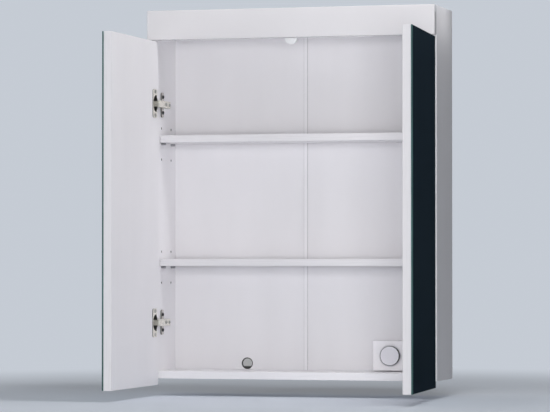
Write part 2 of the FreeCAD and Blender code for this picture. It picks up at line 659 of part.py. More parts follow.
def main():
    """Builds every node and writes it to its file."""
    os.makedirs("parts", exist_ok=True)
    inward = Vector(1, 0, 0)
    forward = Vector(0, -1, 0)

    side_panel = make_side_panel()
    save("right_side_panel", [side_panel])
    save("left_side_panel", [mirrored(side_panel)])
    save("top_panel", [make_cross_board(CEILING, TOP, CEILING)])
    save("bottom_panel", [make_cross_board(BOTTOM, FLOOR, FLOOR)])
    save("front_pelmet", [make_pelmet()])
    save("carcass_dowels", make_dowels(dowel_places()))
    save("pelmet_dowels", make_dowels(pelmet_dowel_places()))
    save("back_panel_left", [make_back_panel(-1)])
    save("back_panel_right", [make_back_panel(1)])
    save("back_joint_strip", [make_back_strip()])

    for name, bottom in zip(("upper_shelf", "lower_shelf"), SHELF_BOTTOMS):
        save(name, [make_shelf(bottom)])
        save(name + "_pins", make_shelf_pins(bottom))

    fixed = {
        "hinge_mounting_plates": [make_mounting_plate(z) for z in HINGE_HEIGHTS],
        "hinge_arms": [make_hinge_arm(z) for z in HINGE_HEIGHTS],
        "hinge_plate_screws": [],
        "hinge_arm_screws": []}
    moving = {
        "door_panel": [make_door_panel()],
        "door_mirror": [make_mirror()],
        "hinge_cups": [make_hinge_cup(z) for z in HINGE_HEIGHTS],
        "hinge_pins": [make_hinge_pin(z) for z in HINGE_HEIGHTS],
        "hinge_cup_screws": []}
    for z in HINGE_HEIGHTS:
        for seat in plate_screw_seats(z):
            fixed["hinge_plate_screws"].append(wood_screw(seat, inward, PLATE_THICK))
        for seat in arm_screw_seats(z):
            fixed["hinge_arm_screws"].append(screw(
                seat, inward, SCREW_HEAD, SCREW_HEAD_HEIGHT, SCREW_SHANK, ARM_TOP - PLATE_THICK - PIN_SEAT))
        for seat in cup_screw_seats(z):
            moving["hinge_cup_screws"].append(wood_screw(seat, forward, FLANGE_THICK))
    for side, word in ((1, "right_"), (-1, "left_")):
        for name, solids in fixed.items():
            save(word + name, solids if side > 0 else [mirrored(solid) for solid in solids])
        for name, solids in moving.items():
            save(word + name, [opened(solid, side) for solid in solids])

    save("door_stop", [make_door_stop()])
    save("door_stop_screw", [wood_screw(stop_screw_seat(), forward, STOP_THICK)])

    bracket = make_bracket()
    save("hanger_brackets", [bracket, mirrored(bracket)])
    hanger_screws = []
    for seat in bracket_screw_seats():
        one = wood_screw(seat, inward, BRACKET_SHEET)
        hanger_screws.extend([one, mirrored(one)])
    save("hanger_screws", hanger_screws)

    save("switch_cover", [make_switch_cover()])
    save("switch_base", [make_switch_base()])
    save("switch_button", [make_switch_button()])
    switch_screws = []
    for seat in switch_screw_seats():
        switch_screws.append(screw(
            seat, Vector(0, 1, 0), SMALL_HEAD, SMALL_HEAD_HEIGHT, SMALL_SHANK,
            SWITCH_BASE_THICK + SMALL_BITE - PIN_SEAT))
    save("switch_screws", switch_screws)


main()
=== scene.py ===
import json
import math
from functools import partial
from typing import NamedTuple

import bmesh
import bpy
from bpy.props import FloatProperty, FloatVectorProperty, PointerProperty
from bpy.types import Operator, Panel, PropertyGroup
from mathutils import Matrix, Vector

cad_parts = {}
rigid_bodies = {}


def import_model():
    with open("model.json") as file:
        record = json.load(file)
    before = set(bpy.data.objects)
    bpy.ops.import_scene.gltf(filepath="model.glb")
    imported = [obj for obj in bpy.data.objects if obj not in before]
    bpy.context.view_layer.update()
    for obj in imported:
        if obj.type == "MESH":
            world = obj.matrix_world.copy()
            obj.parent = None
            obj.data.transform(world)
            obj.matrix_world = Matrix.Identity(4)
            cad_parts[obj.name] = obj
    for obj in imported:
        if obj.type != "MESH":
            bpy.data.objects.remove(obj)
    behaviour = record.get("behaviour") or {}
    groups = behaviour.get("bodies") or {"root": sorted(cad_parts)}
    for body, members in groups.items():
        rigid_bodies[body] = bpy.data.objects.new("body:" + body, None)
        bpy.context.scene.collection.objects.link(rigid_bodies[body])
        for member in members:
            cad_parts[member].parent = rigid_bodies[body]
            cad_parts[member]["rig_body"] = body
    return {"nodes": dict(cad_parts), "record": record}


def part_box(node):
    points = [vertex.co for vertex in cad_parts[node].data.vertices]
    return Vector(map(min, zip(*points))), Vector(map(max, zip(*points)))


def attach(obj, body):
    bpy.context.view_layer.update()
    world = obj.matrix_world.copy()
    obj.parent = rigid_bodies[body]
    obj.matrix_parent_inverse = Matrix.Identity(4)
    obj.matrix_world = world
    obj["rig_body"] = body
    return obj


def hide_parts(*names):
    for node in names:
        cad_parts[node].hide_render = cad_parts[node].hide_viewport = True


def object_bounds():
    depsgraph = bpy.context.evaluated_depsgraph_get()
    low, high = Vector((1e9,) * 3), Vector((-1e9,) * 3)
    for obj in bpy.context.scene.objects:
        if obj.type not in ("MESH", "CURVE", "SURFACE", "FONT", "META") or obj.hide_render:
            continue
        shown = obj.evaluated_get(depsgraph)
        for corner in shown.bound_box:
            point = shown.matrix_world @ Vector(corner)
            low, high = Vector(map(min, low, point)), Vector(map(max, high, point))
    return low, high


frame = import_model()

bl_info = {
    "name": "Mirrored Wall Cabinet",
    "version": (1, 0, 0),
    "blender": (4, 5, 0),
    "location": "View3D > Sidebar > Cabinet",
    "description": "Dresses the wall cabinet's frame with its boards, mirrors and fittings",
    "category": "Object",
}

NODES = frame["nodes"]
MOUNTS = {mount["name"]: mount["pos_m"] for mount in frame["record"]["mounts"]}
CAD_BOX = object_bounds()
MM = 0.001

# Order of the materials on a board or fitting, and on a mirror
FACE, EDGE, HOLE, REAR = range(4)
SILVER, CUT, PAINT, GROUND = range(4)

# How faces and edges of a node are told apart
BROAD_COSINE = 0.98
ARM_WALL_COSINE = 0.7
HOLE_FACET = 2.2 * MM
HOLE_BEND = math.radians(3)
FLAT_BEND = math.radians(0.5)
SHARP_BEND = math.radians(40)
ARRIS_BEND = 1.0
SHORTEST_ARRIS = 12 * MM
WELD = 0.002 * MM

# Small arrises of the thin back panels and of moulded pieces
PANEL_ARRIS = 0.2 * MM
MOULDED_ARRIS = 0.1 * MM

# The part of a noise's range over which a finish goes from its low to its high value
NOISE_LOW = 0.3
NOISE_HIGH = 0.7

# How far marks are drawn out along the three axes
EVEN = (1.0, 1.0, 1.0)
LEVEL = (60.0, 1.0, 1.0)
UPRIGHT = (1.0, 1.0, 60.0)
# Upright stretch of the painted reflection bands on the boards
REFLECTION_BANDS = (1.0, 1.0, 5.0)
DRAWN = (40.0, 40.0, 1.0)
FELTED = (1.0, 1.0, 4.0)
WIPED = (1.0, 1.0, 2.5)
GRAIN = (8.0, 1.0, 1.0)

# Camera
SENSOR_WIDTH = 36.0
AIM_MIDDLE = Vector((0.0, -0.226, -0.321))
AIM_RIGHT = -0.012
AIM_UP = -0.020

# Floor, which passes into the backdrop between two distances
FLOOR_DROP = 22 * MM
FLOOR_HALF = 40.0
FLOOR_GRAIN = 0.25
FLOOR_SHADES = (1.25, 1.28)
FLOOR_ROUGHNESS = 0.7
FADE_START = 0.5
FADE_STOP = 1.6

# Soft light of the surround: where it comes from, and the cosines where it starts and is full
REAR_LOBE = ((-0.60, 0.75, 0.30), 0.35, 0.95)
ABOVE_LOBE = ((0.0, -0.1, 1.0), 0.2, 0.9)

# Dark card that the right mirror faces
DARK_CARD_WIDTH = 0.18
DARK_CARD_NAP = 0.5
DARK_CARD_TONES = ((0.009, 0.014, 0.020), (0.013, 0.020, 0.027))
DARK_CARD_ROUGHNESS = 0.9

# Glowing card behind the cable hole, a painted shade, and the heights between which its foot turns
# dark, a painted shadow
CABLE_HOLE = MOUNTS["cable_hole"]
GREY_CARD_BEHIND = 1 * MM
GREY_CARD_HALF = 22 * MM
GREY_CARD_FOOT = (-7.5 * MM, -5.5 * MM)
GREY_CARD_FOOT_SHADE = 0.12


class Lamp(NamedTuple):
    """A soft light: its name, power setting, place, aim, size and spread."""
    name: str
    power: str
    place: tuple
    aim: tuple
    width: float
    height: float
    spread: float = math.pi


LAMPS = (
    Lamp("right_light", "right_power", (1.0, -3.3, -0.45), (0.0, -0.1, -0.3), 1.4, 1.4),
    Lamp("left_light", "left_power", (-2.4, -2.4, -0.1), (0.0, -0.1, -0.3), 1.4, 1.4),
    Lamp("top_light", "top_power", (0.40, -0.5, 1.0), (-0.28, -0.3, -0.2), 0.4, 0.4),
    Lamp("side_light", "side_power", (0.36, -0.09, 0.04), (0.3, -0.09, 0.04), 0.12, 0.03),
    Lamp(
        "inner_light", "inner_power", (0.27, -0.085, -0.315), (-0.285, -0.085, -0.315), 0.03, 0.70,
        math.radians(40),
    ),
)


def colour_prop(name, description, default):
    """A colour that a user can pick, in scene-linear values."""
    return FloatVectorProperty(
        name=name, description=description, default=default, size=3,
        subtype="COLOR", min=0.0, max=1.0,
    )


def length_prop(name, description, default):
    """A length in metres, shown in the scene's own unit."""
    return FloatProperty(
        name=name, description=description, default=default, unit="LENGTH", min=0.0,
    )


def factor_prop(name, description, default):
    """A share from 0 to 1."""
    return FloatProperty(
        name=name, description=description, default=default, subtype="FACTOR", min=0.0, max=1.0,
    )


def power_prop(name, description, default):
    """A lamp's power in watts."""
    return FloatProperty(
        name=name, description=description, default=default, unit="POWER", min=0.0,
    )


def strength_prop(name, description, default):
    """Strength of light from the surround, where 1 lights white to full white."""
    return FloatProperty(name=name, description=description, default=default, min=0.0)


class BoardSettings(PropertyGroup):
    """Finish of the boards."""
    face_white: colour_prop(
        "Board face", "Melamine on the broad faces", (0.862, 0.846, 0.868))
    # One plastic band in two tones: the carcass copy is painted lighter than the shelf and door
    # copy, as painted light on the carcass edges
    band_white: colour_prop(
        "Edge band", "Plastic band on shelf and door edges", (0.752, 0.736, 0.757))
    carcass_white: colour_prop(
        "Carcass band", "Plastic band on the carcass edges", (0.862, 0.846, 0.868))
    pelmet_white: colour_prop(
        "Pelmet lacquer", "Gloss lacquer on the pelmet", (0.70, 0.683, 0.702))
    back_white: colour_prop(
        "Back foil", "Foil on the front of the back panels", (0.842, 0.826, 0.848))
    raw_core: colour_prop(
        "Chipboard core", "Bare chipboard on the rear edges", (0.46, 0.35, 0.23))
    raw_fibre: colour_prop(
        "Fibreboard", "Bare rear of the back panels", (0.33, 0.23, 0.15))
    # Painted shade: the insides of holes are painted dark where shade falls
    drilled: colour_prop(
        "Drilled hole", "Dark inside of drilled holes", (0.035, 0.032, 0.03))
    arris: length_prop("Arris", "Rounding along the board edges", 0.6 * MM)
    # The cable hole's bevelled rim takes the dark hole colour, a painted shade ring
    hole_shade_rim: length_prop("Hole rim", "Bare bevel round the cable hole", 2.0 * MM)
    roughness: factor_prop("Roughness", "Roughness of the board faces", 0.38)


class MirrorSettings(PropertyGroup):
    """Finish of the door mirrors."""
    silver: colour_prop(
        "Silvering", "Tint of the mirror's reflection", (0.80, 0.84, 0.85))
    edge_green: colour_prop(
        "Glass edge", "Body colour seen in the cut edge", (0.030, 0.084, 0.080))
    ground: colour_prop(
        "Ground arris", "Frosted bevel along the glass edges", (0.50, 0.57, 0.57))
    backing: colour_prop(
        "Backing paint", "Protective paint behind the silver", (0.30, 0.32, 0.34))
    arris: length_prop("Arris", "Width of the ground bevel round the glass", 0.8 * MM)


class FittingSettings(PropertyGroup):
    """Finish of hinges, pins, screws, the switch, the joint strip and the door stop."""
    nickel: colour_prop(
        "Nickel", "Satin plating on the faces of cups and arms", (0.86, 0.83, 0.75))
    plate_nickel: colour_prop(
        "Plate nickel", "Plating on the mounting plates", (0.62, 0.60, 0.56))
    # Painted shade: a darker copy of the nickel for narrow walls and cup insides, where shade
    # falls
    shade_wall_nickel: colour_prop(
        "Wall nickel", "Dull plating on narrow walls and inside the cups", (0.32, 0.31, 0.285))
    black_zinc: colour_prop(
        "Black zinc", "Plate screws", (0.075, 0.075, 0.08))
    press_round: length_prop(
        "Pressing round", "Rounding along the edges of the hinge pressings", 0.3 * MM)
    zinc: colour_prop(
        "Zinc", "Plated steel of screws and brackets", (0.62, 0.61, 0.58))
    pin_steel: colour_prop(
        "Pin steel", "Shelf pins", (0.42, 0.42, 0.43))
    cover_white: colour_prop(
        "Switch cover", "Moulded plastic of the switch box", (0.935, 0.915, 0.945))
    button_grey: colour_prop(
        "Button", "Face of the push button", (0.78, 0.77, 0.82))
    button_wall: colour_prop(
        "Button wall", "Dark ring round the push button", (0.07, 0.07, 0.075))
    strip_white: colour_prop(
        "Joint strip", "Plastic strip between the back panels", (0.872, 0.856, 0.878))
    # Painted shade: the strip's thin sides are painted dark as the shadow line along the strip
    strip_shade_wall: colour_prop(
        "Strip wall", "Thin sides of the joint strip, where dust gathers", (0.16, 0.16, 0.165))
    stop_clear: colour_prop(
        "Door stop", "Soft plastic of the door stop", (0.92, 0.92, 0.93))
    beech: colour_prop(
        "Dowel wood", "Beech of the dowels", (0.58, 0.40, 0.24))


class StageSettings(PropertyGroup):
    """Camera, light, floor and cards."""
    azimuth: FloatProperty(
        name="Azimuth", description="Camera's angle to the right of the front",
        default=math.radians(15.5), subtype="ANGLE",
    )
    elevation: FloatProperty(
        name="Elevation", description="Camera's angle above the horizon",
        default=math.radians(-1.1), subtype="ANGLE",
    )
    distance: length_prop("Distance", "Camera to the middle of the cabinet", 5.8)
    lens: FloatProperty(
        name="Lens", description="Camera's focal length",
        default=190.6, subtype="DISTANCE_CAMERA",
    )
    floor: colour_prop("Floor", "Plain floor and backdrop", (0.56, 0.60, 0.66))
    right_power: power_prop("Right light", "Power of the light beside the camera", 71.0)
    left_power: power_prop("Left light", "Power of the light on the left", 22.0)
    top_power: power_prop("Top light", "Power of the light above the doors", 9.2)
    side_power: power_prop("Side light", "Power of the small light on the right side", 0.022)
    inner_power: power_prop("Inner light", "Power of the tall light inside", 0.031)
    sky: strength_prop("Surround", "Strength of the even light all round", 0.05)
    above: strength_prop("Above", "Strength of the soft light from above", 0.16)
    rear: strength_prop("Rear", "Strength of the soft light from behind", 0.4)
    # Glow of the painted shade card behind the cable hole
    shade_card_grey: colour_prop("Grey card", "Card behind the cable hole", (0.37, 0.37, 0.38))


class CabinetSettings(PropertyGroup):
    """All settings of the cabinet's dress."""
    boards: PointerProperty(type=BoardSettings)
    mirrors: PointerProperty(type=MirrorSettings)
    fittings: PointerProperty(type=FittingSettings)
    stage: PointerProperty(type=StageSettings)


class Nodes:
    """A node tree being built: adds nodes, and sets or links their sockets."""
    # Name of the node that takes the finished shader
    output = "World Output"

    def __init__(self, tree):
        self.tree = tree

    def add(self, kind, sockets=None, **settings):
        """A new node with its settings, and its sockets set or linked."""
        node = self.tree.nodes.new(kind)
        for key, value in settings.items():
            setattr(node, key, value)
        for key, value in (sockets or {}).items():
            self.feed(node, key, value)
        return node

    def feed(self, node, key, value):
        """Sets a socket to a value, or links another node's output to it."""
        if isinstance(value, bpy.types.NodeSocket):
            self.tree.links.new(value, node.inputs[key])
        else:
            node.inputs[key].default_value = value

    def combine(self, operation, first, second):
        """Result of an operation on two numbers."""
        return self.add("ShaderNodeMath", {0: first, 1: second}, operation=operation).outputs[0]

    def fade(self, value, start, stop, most=1.0, ease="SMOOTHSTEP"):
        """Goes from 0 to most as the value goes from start to stop."""
        ends = {"Value": value, "From Min": start, "From Max": stop, "To Max": most}
        return self.add("ShaderNodeMapRange", ends, interpolation_type=ease).outputs["Result"]

    def looked_at(self):
        """1 on rays from the camera, off a mirror or through glass, and 0 on those that light."""
        rays = self.add("ShaderNodeLightPath").outputs
        mirrored = self.combine("MAXIMUM", rays["Is Glossy Ray"], rays["Is Transmission Ray"])
        return self.combine("MAXIMUM", rays["Is Camera Ray"], mirrored)

    def show(self, share, first, second):
        """Shows the first shader, and the second one by its share."""
        mix = self.add("ShaderNodeMixShader", {0: share, 1: first, 2: second})
        self.feed(self.tree.nodes[self.output], "Surface", mix.outputs[0])


class Finish(Nodes):
    """A material being built on its main shader, with marks laid by the place on the object."""
    output = "Material Output"

    def __init__(self, name):
        self.material = bpy.data.materials.new(name)
        self.material.use_nodes = True
        super().__init__(self.material.node_tree)
        self.shader = self.tree.nodes["Principled BSDF"]
        self.place = self.add("ShaderNodeTexCoord").outputs["Object"]

    def set(self, **sockets):
        """Sets or links the shader's own sockets; underscores stand for spaces."""
        for key, value in sockets.items():
            self.feed(self.shader, key.replace("_", " "), value)

    def noise(self, size, detail=2.0, stretch=EVEN):
        """Noise whose grains are about size metres across, drawn out along an axis by stretch."""
        place = self.place
        if stretch != EVEN:
            squeeze = [1.0 / along for along in stretch]
            place = self.add("ShaderNodeMapping", {"Vector": place, "Scale": squeeze}).outputs[0]
        sockets = {"Vector": place, "Scale": 1.0 / size, "Detail": detail}
        return self.add("ShaderNodeTexNoise", sockets).outputs["Fac"]

    def flakes(self, size):
        """Cells about size metres across, each with its own value."""
        cells = self.add("ShaderNodeTexVoronoi", {"Vector": self.place, "Scale": 1.0 / size})
        parts = self.add("ShaderNodeSeparateColor", {"Color": cells.outputs["Color"]})
        return parts.outputs["Red"]

    def tones(self, factor, low, high, start=NOISE_LOW, stop=NOISE_HIGH):
        """Colours from low to high as the factor goes from start to stop."""
        ramp = self.add("ShaderNodeValToRGB", {"Fac": factor})
        ends = ramp.color_ramp.elements
        ends[0].position, ends[0].color = start, (*low, 1.0)
        ends[1].position, ends[1].color = stop, (*high, 1.0)
        return ramp.outputs["Color"]

    def levels(self, factor, low, high):
        """Numbers from low to high over the used part of a noise's range."""
        ends = {"From Min": NOISE_LOW, "From Max": NOISE_HIGH, "To Min": low, "To Max": high}
        return self.add("ShaderNodeMapRange", {"Value": factor, **ends}).outputs["Result"]

    def bump(self, height, depth, strength=1.0):
        """Relief of the given depth in metres."""
        sockets = {"Height": height, "Distance": depth, "Strength": strength}
        return self.add("ShaderNodeBump", sockets).outputs["Normal"]


def shade(colour, factor):
    """The colour times a factor, held at white."""
    return tuple(min(1.0, channel * factor) for channel in colour)


def board_finish(name, colour, roughness):
    """White melamine: soft upright bands of tone, a painted reflection of the lights, and a fine
    pearl relief.
    """
    finish = Finish(name)
    # Painted reflection: the upright bands of tone stand in for lights reflected in the boards
    drift = finish.noise(70 * MM, stretch=REFLECTION_BANDS)
    pearl = finish.noise(0.9 * MM, detail=1.0)
    finish.set(
        Base_Color=finish.tones(drift, shade(colour, 0.978), shade(colour, 1.012)),
        Roughness=finish.levels(pearl, roughness - 0.05, roughness + 0.05),
        Normal=finish.bump(pearl, depth=0.02 * MM, strength=0.5),
        IOR=1.5,
    )
    return finish.material


def band_finish(name, colour, along):
    """Plastic edge band: smoother than the faces, with faint lines drawn along the board."""
    finish = Finish(name)
    drawn = finish.noise(1.2 * MM, detail=1.0, stretch=along)
    finish.set(
        Base_Color=finish.tones(drawn, shade(colour, 0.99), colour),
        Roughness=finish.levels(drawn, 0.26, 0.34),
        Normal=finish.bump(drawn, depth=0.01 * MM, strength=0.3),
    )
    return finish.material


def lacquer_finish(name, colour):
    """Gloss lacquer with the slight waves of a sprayed coat."""
    finish = Finish(name)
    wave = finish.noise(6 * MM, detail=1.0)
    drift = finish.noise(200 * MM)
    finish.set(
        Base_Color=finish.tones(drift, shade(colour, 0.99), shade(colour, 1.008)),
        Roughness=finish.levels(wave, 0.16, 0.22),
        Normal=finish.bump(wave, depth=0.01 * MM, strength=0.25),
        Coat_Weight=0.35,
        Coat_Roughness=0.08,
    )
    return finish.material


def chipboard_finish(name, colour):
    """Bare chipboard: pressed flakes of several browns."""
    finish = Finish(name)
    flakes = finish.flakes(2.2 * MM)
    dust = finish.noise(0.6 * MM, detail=3.0)
    finish.set(
        Base_Color=finish.tones(
            flakes, shade(colour, 0.6), shade(colour, 1.35), start=0.0, stop=1.0,
        ),
        Roughness=finish.levels(dust, 0.75, 0.95),
        Normal=finish.bump(flakes, depth=0.25 * MM, strength=0.6),
    )
    return finish.material


def fibreboard_finish(name, colour):
    """Bare hard fibreboard: felted fibres and a screen-like press mark."""
    finish = Finish(name)
    felt = finish.noise(3.5 * MM, detail=5.0)
    fibre = finish.noise(0.8 * MM, stretch=FELTED)
    finish.set(
        Base_Color=finish.tones(felt, shade(colour, 0.82), shade(colour, 1.18)),
        Roughness=finish.levels(fibre, 0.62, 0.8),
        Normal=finish.bump(fibre, depth=0.08 * MM, strength=0.6),
    )
    return finish.material


def silver_finish(name, colour):
    """Mirror silver, with the faintest smears on the glass."""
    finish = Finish(name)
    smear = finish.noise(120 * MM, detail=4.0, stretch=WIPED)
    finish.set(
        Base_Color=finish.tones(smear, shade(colour, 0.99), colour),
        Roughness=finish.levels(smear, 0.008, 0.022),
        Metallic=1.0,
    )
    return finish.material


def glass_edge_finish(name, colour):
    """Cut glass edge: green body with bright streaks of light inside."""
    finish = Finish(name)
    streak = finish.noise(2.0 * MM, stretch=UPRIGHT)
    finish.set(
        Base_Color=finish.tones(streak, shade(colour, 0.7), shade(colour, 1.5)),
        Roughness=finish.levels(streak, 0.22, 0.36),
        IOR=1.52,
    )
    return finish.material


def plated_finish(name, colour, roughness, metal=1.0):
    """Plated steel: cloudy gloss with fine drawn scratches."""
    finish = Finish(name)
    cloud = finish.noise(7 * MM, detail=3.0)
    scratch = finish.noise(0.25 * MM, detail=1.0, stretch=DRAWN)
    finish.set(
        Base_Color=finish.tones(cloud, shade(colour, 0.86), shade(colour, 1.08)),
        Roughness=finish.levels(scratch, roughness - 0.04, roughness + 0.05),
        Normal=finish.bump(scratch, depth=0.002 * MM, strength=0.2),
        Metallic=metal,
    )
    return finish.material


def plastic_finish(name, colour, roughness):
    """Moulded plastic with a fine spark-eroded skin."""
    finish = Finish(name)
    skin = finish.noise(0.5 * MM, detail=1.0)
    drift = finish.noise(30 * MM)
    finish.set(
        Base_Color=finish.tones(drift, shade(colour, 0.98), shade(colour, 1.015)),
        Roughness=finish.levels(skin, roughness - 0.05, roughness + 0.06),
        Normal=finish.bump(skin, depth=0.02 * MM, strength=0.4),
    )
    return finish.material


def soft_plastic_finish(name, colour):
    """Milky soft plastic that lets some light in."""
    finish = Finish(name)
    cloud = finish.noise(4 * MM)
    finish.set(
        Base_Color=finish.tones(cloud, shade(colour, 0.97), shade(colour, 1.02)),
        Roughness=finish.levels(cloud, 0.28, 0.4),
        Subsurface_Weight=0.25,
        Subsurface_Radius=(3 * MM, 3 * MM, 3 * MM),
    )
    return finish.material


def wood_finish(name, colour):
    """Beech with its short dark flecks along the grain."""
    finish = Finish(name)
    fleck = finish.noise(0.7 * MM, stretch=GRAIN)
    finish.set(
        Base_Color=finish.tones(fleck, shade(colour, 0.7), shade(colour, 1.1)),
        Roughness=finish.levels(fleck, 0.5, 0.65),
        Normal=finish.bump(fleck, depth=0.05 * MM, strength=0.4),
    )
    return finish.material


def dress(material, *nodes):
    """Gives CAD nodes a material."""
    for node in nodes:
        slots = NODES[node].data.materials
        slots.clear()
        slots.append(material)


def body_of(node):
    """Name of the body that carries a node."""
    return NODES[node]["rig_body"]


def middle_of(node):
    """Middle of a node's box."""
    low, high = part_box(node)
    return (low + high) / 2


def broad_axis(bm):
    """Normal of a board's largest flat face."""
    return max(bm.faces, key=lambda face: face.calc_area()).normal.copy()


def bends_inwards(edge):
    """True for an edge along which a surface bends inwards, as inside a hole."""
    return edge.is_manifold and edge.calc_face_angle_signed() < -HOLE_BEND


def in_hole(face):
    """True for a narrow face of a round hole."""
    if min(edge.calc_length() for edge in face.edges) > HOLE_FACET:
        return False
    return any(bends_inwards(edge) for edge in face.edges)


def sort_board(bm, raw_side=None):
    """Marks broad faces, edges, holes and, where there is one, the side that is left bare."""
    across = broad_axis(bm)
    for face in bm.faces:
        broad = abs(face.normal.dot(across)) > BROAD_COSINE
        if raw_side is not None and face.normal.dot(raw_side) > BROAD_COSINE:
            face.material_index = REAR
        elif broad:
            face.material_index = FACE
        else:
            face.material_index = HOLE if in_hole(face) else EDGE


def sort_raw_rear(bm):
    """Sorts the faces of a board whose rear is left bare."""
    sort_board(bm, Vector((0.0, 1.0, 0.0)))


def sort_arm(bm):
    """Marks an arm's top and hook as faces, and the walls that face up and down as edges."""
    for face in bm.faces:
        face.material_index = EDGE if abs(face.normal.z) > ARM_WALL_COSINE else FACE


def sort_mirror(bm, inward):
    """Marks a mirror's silvered front, its cut edges and the painted side towards the door."""
    for face in bm.faces:
        turned = face.normal.dot(inward)
        if turned < -BROAD_COSINE:
            face.material_index = SILVER
        else:
            face.material_index = PAINT if turned > BROAD_COSINE else CUT


def on_rim(edge):
    """True for an edge between a broad face and the inside of a hole."""
    kinds = {face.material_index for face in edge.link_faces}
    return kinds == {FACE, HOLE} and edge.calc_length() < SHORTEST_ARRIS


def is_arris(edge):
    """True for a long edge that is sharp enough to be rounded."""
    if not edge.is_manifold or edge.calc_length() <= SHORTEST_ARRIS:
        return False
    return edge.calc_face_angle() > ARRIS_BEND


def make_piece(node, name, materials, arris, sort=sort_board, rim=0.0, arris_index=EDGE):
    """A piece in the place of its CAD node, with rounded arrises and sorted faces.

    The rims of its holes are cut back by rim, which gives them the hole's dark material as a
    painted shade. The arrises take the material at arris_index.
    """
    bm = bmesh.new()
    bm.from_mesh(NODES[node].data)
    bmesh.ops.remove_doubles(bm, verts=bm.verts, dist=WELD)
    bmesh.ops.dissolve_limit(bm, angle_limit=FLAT_BEND, verts=bm.verts, edges=bm.edges)
    sort(bm)
    if rim:
        bmesh.ops.bevel(
            bm, geom=[edge for edge in bm.edges if on_rim(edge)], offset=rim, segments=1,
            affect="EDGES", clamp_overlap=False, material=HOLE,
        )
    bmesh.ops.bevel(
        bm, geom=[edge for edge in bm.edges if is_arris(edge)], offset=arris, segments=2,
        profile=0.5, affect="EDGES", clamp_overlap=True, material=arris_index,
    )
    mesh = bpy.data.meshes.new(name)
    bm.to_mesh(mesh)
    bm.free()
    for layer in ("custom_normal", "sharp_edge", "sharp_face"):
        if layer in mesh.attributes:
            mesh.attributes.remove(mesh.attributes[layer])
    for material in materials:
        mesh.materials.append(material)
    mesh.shade_smooth()
    mesh.set_sharp_from_angle(angle=SHARP_BEND)
    piece = bpy.data.objects.new(name, mesh)
    bpy.context.scene.collection.objects.link(piece)
    weigh = piece.modifiers.new("Flat faces", "WEIGHTED_NORMAL")
    weigh.keep_sharp = True
    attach(piece, body_of(node))
    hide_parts(node)


class CABINET_OT_boards(Operator):
    """Makes the carcass boards, shelves and door boards with rounded arrises"""
    bl_idname = "cabinet.boards"
    bl_label = "Boards"

    def execute(self, context):
        look = context.scene.cabinet.boards
        face = board_finish("white_melamine", look.face_white, look.roughness)
        level = band_finish("shelf_edge_band", look.band_white, LEVEL)
        upright = band_finish("door_edge_band", look.band_white, UPRIGHT)
        # Lighter carcass band, a painted light
        carcass_level = band_finish("level_carcass_band", look.carcass_white, LEVEL)
        carcass_upright = band_finish("upright_carcass_band", look.carcass_white, UPRIGHT)
        core = chipboard_finish("bare_chipboard", look.raw_core)
        # Dark inside of holes, a painted shade
        drilled = chipboard_finish("drilled_chipboard", look.drilled)
        for node, slot, band, sort in (
            ("left_side_panel", "carcass_board", carcass_upright, sort_raw_rear),
            ("right_side_panel", "carcass_board", carcass_upright, sort_raw_rear),
            ("top_panel", "carcass_board", carcass_level, sort_raw_rear),
            ("bottom_panel", "carcass_board", carcass_level, sort_raw_rear),
            ("upper_shelf", "shelf_board", level, sort_raw_rear),
            ("lower_shelf", "shelf_board", level, sort_raw_rear),
            ("left_door_panel", "door_board", upright, sort_board),
            ("right_door_panel", "door_board", upright, sort_board),
        ):
            make_piece(node, node + "_board", (face, band, drilled, core), look.arris, sort)
        return {"FINISHED"}


class CABINET_OT_pelmet(Operator):
    """Lacquers the pelmet across the top of the front"""
    bl_idname = "cabinet.pelmet"
    bl_label = "Pelmet"

    def execute(self, context):
        look = context.scene.cabinet.boards
        dress(lacquer_finish("gloss_lacquer", look.pelmet_white), "front_pelmet")
        return {"FINISHED"}


class CABINET_OT_back(Operator):
    """Makes the back panels with their bare rear, and the strip between them"""
    bl_idname = "cabinet.back"
    bl_label = "Back"

    def execute(self, context):
        look = context.scene.cabinet.boards
        front = board_finish("white_back_foil", look.back_white, roughness=0.45)
        fibre = fibreboard_finish("bare_fibreboard", look.raw_fibre)
        # Dark inside of the cable hole and its rim, a painted shade
        drilled = fibreboard_finish("drilled_fibreboard", look.drilled)
        for node in ("back_panel_left", "back_panel_right"):
            make_piece(
                node, node + "_board", (front, fibre, drilled, fibre),
                PANEL_ARRIS, sort_raw_rear, look.hole_shade_rim,
            )
        fittings = context.scene.cabinet.fittings
        strip = plastic_finish("strip_plastic", fittings.strip_white, roughness=0.36)
        # Dark sides of the strip, a painted shadow line
        wall = plastic_finish("strip_wall_plastic", fittings.strip_shade_wall, roughness=0.5)
        make_piece(
            "back_joint_strip", "back_joint_strip_profile", (strip, wall, wall),
            MOULDED_ARRIS,
        )
        return {"FINISHED"}


class CABINET_OT_mirrors(Operator):
    """Makes the door mirrors: silvered front, green edges, ground arrises and painted back"""
    bl_idname = "cabinet.mirrors"
    bl_label = "Mirrors"

    def execute(self, context):
        look = context.scene.cabinet.mirrors
        silver = silver_finish("mirror_silver", look.silver)
        edge = glass_edge_finish("glass_edge", look.edge_green)
        paint = plastic_finish("mirror_backing", look.backing, roughness=0.55)
        ground = plastic_finish("ground_glass", look.ground, roughness=0.45)
        for side in ("left", "right"):
            node = side + "_door_mirror"
            inward = (middle_of(side + "_door_panel") - middle_of(node)).normalized()
            make_piece(
                node, side + "_mirror", (silver, edge, paint, ground), look.arris,
                partial(sort_mirror, inward=inward), arris_index=GROUND,
            )
        return {"FINISHED"}


